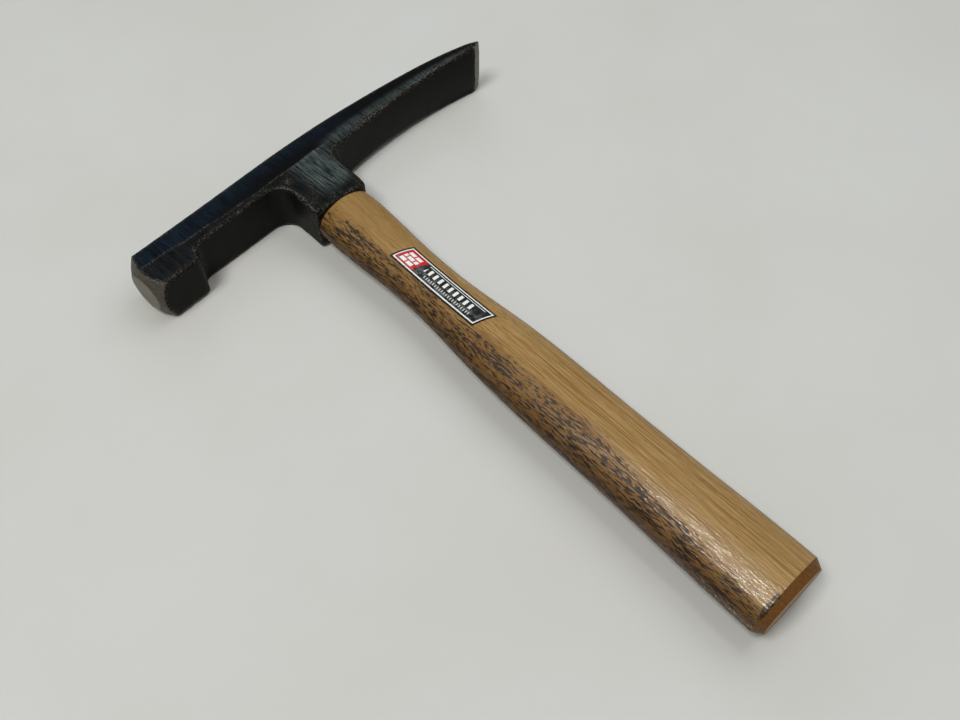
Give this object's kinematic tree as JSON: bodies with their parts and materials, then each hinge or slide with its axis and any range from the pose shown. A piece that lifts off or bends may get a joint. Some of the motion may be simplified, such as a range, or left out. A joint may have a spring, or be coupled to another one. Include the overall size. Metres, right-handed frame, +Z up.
{
  "type": "brick hammer",
  "caption": "Brick hammer: forged steel head with a square striking poll and a long curved chisel blade, wedged on a waisted oval hardwood handle.",
  "frame": {"origin": "under the middle of the hammer's box, on the surface that it lies on", "axes": "+X along the handle, from the head to the butt; +Y along the head, from the striking face to the blade; +Z up, with the hammer lying on its side"},
  "size_m": [0.2948, 0.205, 0.0285],
  "materials": {
    "head_steel": "black lacquer over linished steel, bare ground steel on the striking face and the cutting edge",
    "handle_wood": "open-grained hardwood under clear gloss lacquer",
    "wedge_wood": "sanded hardwood",
    "wedge_steel": "ground steel",
    "label_print": "glossy printed label, white border, red block, plain geometric pattern"
  },
  "bodies": {
    "root": {"hammer_head": "head_steel", "handle": "handle_wood", "wood_wedge": "wedge_wood", "steel_wedges": "wedge_steel", "label": "label_print"}
  },
  "joints": []
}
